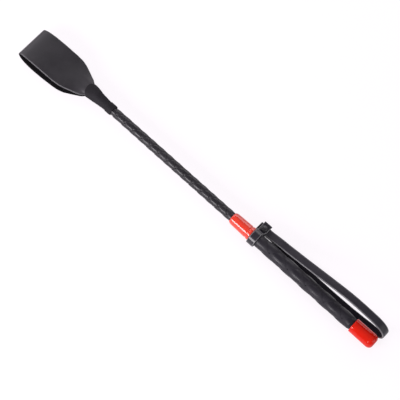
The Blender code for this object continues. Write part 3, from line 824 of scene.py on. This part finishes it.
def soft_light(name, position, aim, size, radiance):
    """Rectangular light with the same radiance all over. position, aim and size are in metres."""
    data = bpy.data.lights.new(name, "AREA")
    data.shape = "RECTANGLE"
    data.size, data.size_y = size
    data.energy = radiance * math.pi * size[0] * size[1]
    data.color = SKY
    obj = bpy.data.objects.new(name, data)
    obj.location = position
    obj.rotation_euler = (Vector(aim) - Vector(position)).to_track_quat("-Z", "Y").to_euler()
    bpy.context.scene.collection.objects.link(obj)


def make_lights():
    world = bpy.data.worlds.new("studio")
    world.use_nodes = True
    background = world.node_tree.nodes["Background"]
    background.inputs["Color"].default_value = (*SKY, 1.0)
    background.inputs["Strength"].default_value = SKY_STRENGTH
    bpy.context.scene.world = world
    soft_light("front_box", (-0.1975, -0.58, 0.25), (-0.1975, 0.0, 0.0), (0.725, 0.25), 10.5)
    soft_light("left_box", (-1.3, 0.25, 0.75), (-0.1, 0.0, 0.0), (0.9, 0.9), 2.5)
    soft_light("back_box", (-0.35, 1.15, 0.75), (0.0, 0.0, 0.0), (1.4, 0.9), 1.9)
    soft_light("right_box", (1.3, 0.1, 0.65), (0.1, 0.0, 0.0), (0.9, 0.8), 1.8)


def make_camera():
    """The camera found for the photo."""
    azimuth, elevation, roll = (math.radians(v) for v in (VIEW_AZIMUTH, VIEW_ELEVATION, VIEW_ROLL))
    back = Vector((math.sin(azimuth) * math.cos(elevation), -math.cos(azimuth) * math.cos(elevation),
                   math.sin(elevation)))
    level = Vector((math.cos(azimuth), math.sin(azimuth), 0.0))
    raised = back.cross(level)
    right = level * math.cos(roll) + raised * math.sin(roll)
    up = back.cross(right)
    aim = Vector((VIEW_OFFSET[0] * MM, AXIS_Y + VIEW_OFFSET[1] * MM, AXIS_Z))
    data = bpy.data.cameras.new("camera")
    data.lens = VIEW_LENS
    data.sensor_width = 36.0
    data.clip_start, data.clip_end = 0.05, 30.0
    obj = bpy.data.objects.new("camera", data)
    bpy.context.scene.collection.objects.link(obj)
    turn = Matrix((right, up, back)).transposed().to_4x4()
    turn.translation = aim + back * VIEW_DISTANCE
    obj.matrix_world = turn
    bpy.context.scene.camera = obj


def main():
    bpy.context.scene.view_settings.view_transform = "Standard"
    make_camera()
    make_floor()
    make_lights()
    keeper_mat = leather("keeper_grain", (0.0160, 0.0145, 0.0180), (0.0215, 0.0198, 0.0240), 0.42, 1100.0,
                         # pale at the fold and near the neck: partly grain paled by stretching, partly painted
                         # sheen
                         stretch_and_sheen_spots=((STRETCH_AND_SHEEN_SHADE, 0.0845, None, 0.016), (STRETCH_AND_SHEEN_SHADE, 0.160, None, 0.018),
                                    # pale spot beside the neck pleat: a faint painted highlight, partly wear
                                    ((0.075, 0.072, 0.078), 0.160, 0.19, 0.0052)))
    strap_mat = leather("strap_grain", *STRAP_DYE, 0.38, 1200.0, edge=(0.80, (0.07, 0.068, 0.076)))
    band_mat = leather("band_grain", *STRAP_DYE, 0.19, 1200.0, edge=(0.84, (0.09, 0.088, 0.096)),
                       specular=0.5)
    sleeve_mat = leather("sleeve_grain", (0.0125, 0.0112, 0.0140), (0.0185, 0.0168, 0.0205), 0.68, 900.0,
                         0.00002, specular=0.13, creases=0.0002)
    shaft_mat = leather("shaft_grain", (0.0145, 0.0130, 0.0165), (0.0210, 0.0190, 0.0240), 0.27, 1500.0,
                        matt=0.22)
    grip_mat = leather("grip_grain", (0.0140, 0.0124, 0.0178), (0.0195, 0.0176, 0.0245), 0.36, 1300.0,
                       specular=0.30, matt=0.34)
    # pale grey cut edges of strap and collar: partly raw fibre colour, partly a painted highlight along the
    # edges
    edge_and_sheen_mat = cut_edge("leather_cut_edge_painted_sheen", (0.08, 0.078, 0.084), (0.20, 0.196, 0.207), 0.5)
    # keeper's cut edges near-black as painted shade inside the keeper, and paler on the upper ply from the
    # given place on as a painted highlight, partly wear
    keeper_edge_shade_and_sheen_mat = cut_edge("keeper_cut_edge_painted_shade_and_sheen", (0.003, 0.003, 0.0035), (0.008, 0.0075, 0.009), 0.75,
                               0.05, (0.083, (0.13, 0.126, 0.134)))
    # flesh side made near-black: painted shade inside the keeper's fold
    keeper_flesh_and_shade_mat = flesh("keeper_flesh_side_painted_shade", (0.003, 0.0027, 0.0036), (0.009, 0.008, 0.0105))
    # flesh side of strap and collar: dark dye, darkened further as painted shade inside the strap's loop
    strap_flesh_and_shade_mat = flesh("strap_flesh_side_painted_shade", (0.008, 0.007, 0.0105), (0.014, 0.0123, 0.018))
    cap_red = moulded("cap_red_moulding", (0.61, 0.0085, 0.0012), (0.67, 0.012, 0.0025), 0.04, 0.30)
    ferrule_red = moulded("ferrule_red_moulding", (0.65, 0.028, 0.010), (0.71, 0.038, 0.015), 0.03, 0.9)
    thread = thread_material("waxed_thread")
    make_plaits(shaft_mat, grip_mat)
    make_keeper([keeper_mat, keeper_edge_shade_and_sheen_mat, keeper_flesh_and_shade_mat])
    make_sleeve(sleeve_mat)
    make_moulded_ends(ferrule_red, cap_red)
    make_collar([band_mat, edge_and_sheen_mat, strap_flesh_and_shade_mat])
    make_wrist_strap([strap_mat, edge_and_sheen_mat, strap_flesh_and_shade_mat])
    make_rivet(blackened("blackened_rivet"))
    finish_nodes([
        (("core_rod",), drawn_fibre("drawn_glass_fibre", (0.42, 0.41, 0.33), (0.70, 0.68, 0.56), 0.30)),
        (("grip_tube",), drawn_fibre("black_tube", (0.010, 0.010, 0.011), (0.022, 0.022, 0.024), 0.5)),
        (("keeper_tail_top", "keeper_tail_bottom"), keeper_mat),
        (("keeper_lashing", "shaft_whipping", "butt_whipping"), thread),
    ])


main()
